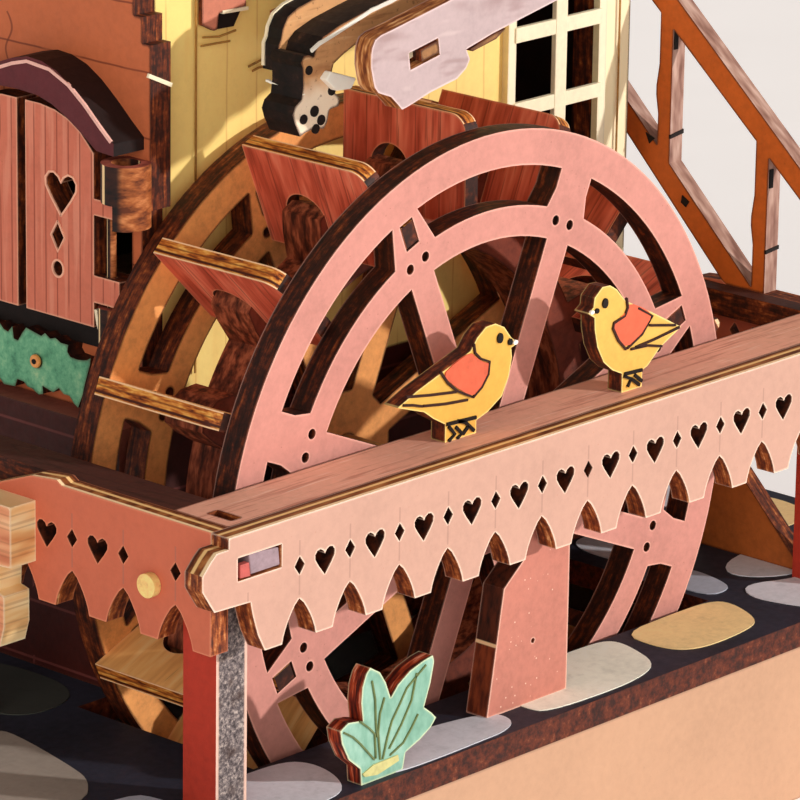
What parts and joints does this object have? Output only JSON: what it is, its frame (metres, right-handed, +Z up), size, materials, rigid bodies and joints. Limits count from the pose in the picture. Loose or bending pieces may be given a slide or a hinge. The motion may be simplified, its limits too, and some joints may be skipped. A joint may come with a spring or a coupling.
{
  "type": "model watermill",
  "caption": "Plywood model watermill: a bucket wheel turns in a scalloped timber frame beside a small mill house on a painted base box.",
  "frame": {"origin": "centre of the base box's underside", "axes": "+Z up; the axle runs along Y with the scalloped front facing -Y; the door wall faces -X; +X is the long way of the base"},
  "size_m": [0.144, 0.081, 0.1294],
  "materials": {
    "ground": "painted dark blue-black ground with pale and ochre stones, burnt edges",
    "base_paint": "peach painted plywood",
    "apron_pink": "pale salmon pink painted plywood, laser-burnt edges",
    "apron_red": "terracotta painted plywood, laser-burnt edges",
    "rail_rose": "dusty rose printed grain on plywood, burnt edges",
    "rail_dark": "dark burnt plywood edge",
    "post_red": "red paint with burnt ply edge",
    "pine": "bare plywood",
    "rim_pink": "dusty pink painted ply, dark burnt edges",
    "rim_bare": "bare orange-brown ply, dark burnt edges",
    "bucket_red": "dusty red printed grain on one side, bare ply on the other",
    "burnt": "dark burnt plywood",
    "support_pink": "pink painted ply with small flecks",
    "bird_yellow": "yellow painted ply with orange wing and dark lines",
    "leaf_mint": "mint painted ply with dark veins, red-brown edge",
    "plinth_maroon": "dark maroon ply with engraved lines",
    "wall_red": "terracotta red printed boards",
    "wall_yellow": "pale yellow printed boards",
    "floor_ply": "bare plywood",
    "roof_brown": "dark red-brown shingle print",
    "door_terracotta": "terracotta boarded leaf",
    "hood_maroon": "maroon face, black burnt edge",
    "grass_green": "green ragged printed board",
    "window_cream": "cream painted frame",
    "chute_mauve": "mauve-grey painted ply, burnt edge",
    "chute_tan": "tan face with black burnt edges",
    "rail_orange": "orange-brown ply with dusty pink edges"
  },
  "bodies": {
    "mill": {"base_top": "ground", "base_front": "base_paint", "base_back": "base_paint", "base_sides": "base_paint", "front_apron": "apron_pink", "left_apron": "apron_red", "right_apron": "apron_red", "front_rail": "rail_rose", "side_rails": "rail_dark", "posts_front": "post_red", "posts_back": "post_red", "apron_peg": "pine", "corner_blocks": "pine", "axle_support": "support_pink", "bird_left": "bird_yellow", "bird_right": "bird_yellow", "leaf": "leaf_mint", "plinth_front": "plinth_maroon", "plinth_left": "plinth_maroon", "plinth_back": "plinth_maroon", "plinth_right": "plinth_maroon", "house_floor": "floor_ply", "wall_left": "wall_red", "wall_front": "wall_yellow", "wall_back": "wall_yellow", "wall_right": "wall_red", "roof_front": "roof_brown", "roof_back": "roof_brown", "door_hood": "hood_maroon", "door_hinges": "chute_tan", "grass_board": "grass_green", "window_frame": "window_cream", "chute_front": "chute_mauve", "chute_back": "chute_tan", "chute_floor": "chute_tan", "stair_railing": "rail_orange", "right_bracket": "rail_orange"},
    "wheel": {"rim_front": "rim_pink", "rim_back": "rim_bare", "paddles": "bucket_red", "catch_ring": "burnt", "axle": "pine"},
    "door_right": {"door_leaf_right": "door_terracotta"},
    "door_left": {"door_leaf_left": "door_terracotta"}
  },
  "joints": [
    {"name": "wheel_turn", "type": "hinge", "parent": "mill", "child": "wheel", "pos_m": [-0.00285, -0.015, 0.0432], "axis": [0, 1, 0], "continuous": true},
    {"name": "door_right_hinge", "type": "hinge", "parent": "mill", "child": "door_right", "pos_m": [-0.03322, 0.00015, 0.0705], "axis": [0, 0, 1], "range_deg": [0, 60]},
    {"name": "door_left_hinge", "type": "hinge", "parent": "mill", "child": "door_left", "pos_m": [-0.03322, 0.02603, 0.0705], "axis": [0, 0, -1], "range_deg": [0, 60]}
  ]
}
